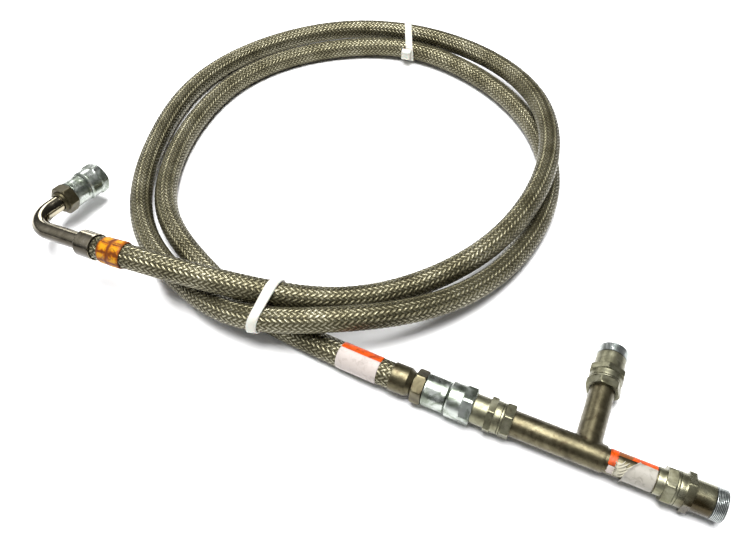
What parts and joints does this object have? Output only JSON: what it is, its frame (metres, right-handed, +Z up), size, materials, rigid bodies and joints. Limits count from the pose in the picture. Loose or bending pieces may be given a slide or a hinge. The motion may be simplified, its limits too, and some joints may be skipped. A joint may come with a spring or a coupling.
{
  "type": "flexible cryogenic hose",
  "caption": "Flexible steel-braided hose lying in loops, with a right-angle swivel coupling at one end and a pipe tee with self-sealing male couplings at the other.",
  "frame": {"origin": "on the floor, under the middle of the box round the metal fittings", "axes": "+X along the tee's run, away from the hose; +Y along the tee's branch; +Z up"},
  "size_m": [0.6532, 0.5133, 0.0633],
  "materials": {
    "braid": "woven stainless wire, dulled",
    "patina": "dull plated steel with an olive tarnish",
    "zinc": "bright zinc plate",
    "stainless": "polished stainless",
    "valve_steel": "turned stainless",
    "spring_steel": "drawn wire",
    "gasket": "matt",
    "amber_tape": "translucent film",
    "label": "printed film",
    "nylon": "white nylon"
  },
  "bodies": {
    "hose_line": {"braided_hose": "braid", "amber_tape": "amber_tape", "hose_label": "label", "cable_tie_top": "nylon", "cable_tie_front": "nylon", "elbow_ferrule": "stainless", "elbow_tube": "stainless", "elbow_hex_adapter": "patina", "elbow_coupling_body": "zinc", "elbow_retaining_ring": "spring_steel", "elbow_face_gasket": "gasket", "elbow_valve_post": "valve_steel", "elbow_valve_spring": "spring_steel", "hose_ferrule": "patina", "hose_nipple": "patina", "union_coupling_body": "zinc", "union_retaining_ring": "spring_steel", "union_face_gasket": "gasket", "union_valve_post": "valve_steel", "union_valve_spring": "spring_steel"},
    "elbow_nut": {"elbow_coupling_nut": "zinc"},
    "elbow_sleeve": {"elbow_valve_sleeve": "valve_steel"},
    "union_nut": {"union_coupling_nut": "zinc"},
    "union_sleeve": {"union_valve_sleeve": "valve_steel"},
    "tee": {"tee_pipe": "patina", "tee_stub": "patina", "tee_label": "label", "union_male_body": "patina", "union_washer": "patina", "union_hex_adapter": "patina", "union_poppet_guide": "valve_steel", "union_poppet_spring": "spring_steel", "branch_male_body": "patina", "branch_washer": "patina", "branch_hex_adapter": "patina", "branch_poppet_guide": "valve_steel", "branch_poppet_spring": "spring_steel", "end_male_body": "patina", "end_washer": "patina", "end_hex_adapter": "patina", "end_poppet_guide": "valve_steel", "end_poppet_spring": "spring_steel"},
    "union_poppet": {"union_poppet": "valve_steel"},
    "branch_poppet": {"branch_poppet": "valve_steel"},
    "end_poppet": {"end_poppet": "valve_steel"}
  },
  "joints": [
    {"name": "elbow_nut_spin", "type": "hinge", "parent": "hose_line", "child": "elbow_nut", "pos_m": [-0.30643, 0.0236, 0.02865], "axis": [0.0516, 0.9913, -0.1207], "continuous": true},
    {"name": "elbow_sleeve_slide", "type": "slide", "parent": "hose_line", "child": "elbow_sleeve", "axis": [-0.0516, -0.9913, 0.1207], "range_m": [0, 0.006], "stiffness_N_per_m": 1500, "springref_m": -0.004, "deforming": ["elbow_valve_spring"]},
    {"name": "union_nut_turn", "type": "hinge", "parent": "hose_line", "child": "union_nut", "pos_m": [0.1113, -0.04, 0.01556], "axis": [1, 0, 0], "range_deg": [0, 1440]},
    {"name": "tee_slide", "type": "slide", "parent": "hose_line", "child": "tee", "axis": [1, 0, 0], "range_m": [0, 0.006]},
    {"name": "union_poppet_slide", "type": "slide", "parent": "tee", "child": "union_poppet", "axis": [-1, 0, 0], "range_m": [0, 0.006], "deforming": ["union_poppet_spring"]},
    {"name": "union_sleeve_slide", "type": "slide", "parent": "hose_line", "child": "union_sleeve", "axis": [1, 0, 0], "range_m": [0, 0.006], "deforming": ["union_valve_spring"]},
    {"name": "branch_poppet_slide", "type": "slide", "parent": "tee", "child": "branch_poppet", "axis": [0, -1, 0], "range_m": [0, 0.006], "stiffness_N_per_m": 1500, "springref_m": -0.004, "deforming": ["branch_poppet_spring"]},
    {"name": "end_poppet_slide", "type": "slide", "parent": "tee", "child": "end_poppet", "axis": [-1, 0, 0], "range_m": [0, 0.006], "stiffness_N_per_m": 1500, "springref_m": -0.004, "deforming": ["end_poppet_spring"]}
  ],
  "couplings": [
    {"joint": "union_nut_turn", "follows": "tee_slide", "rad_per_m": 4188.8},
    {"joint": "union_poppet_slide", "follows": "tee_slide", "ratio": 1},
    {"joint": "union_sleeve_slide", "follows": "tee_slide", "ratio": 1}
  ]
}
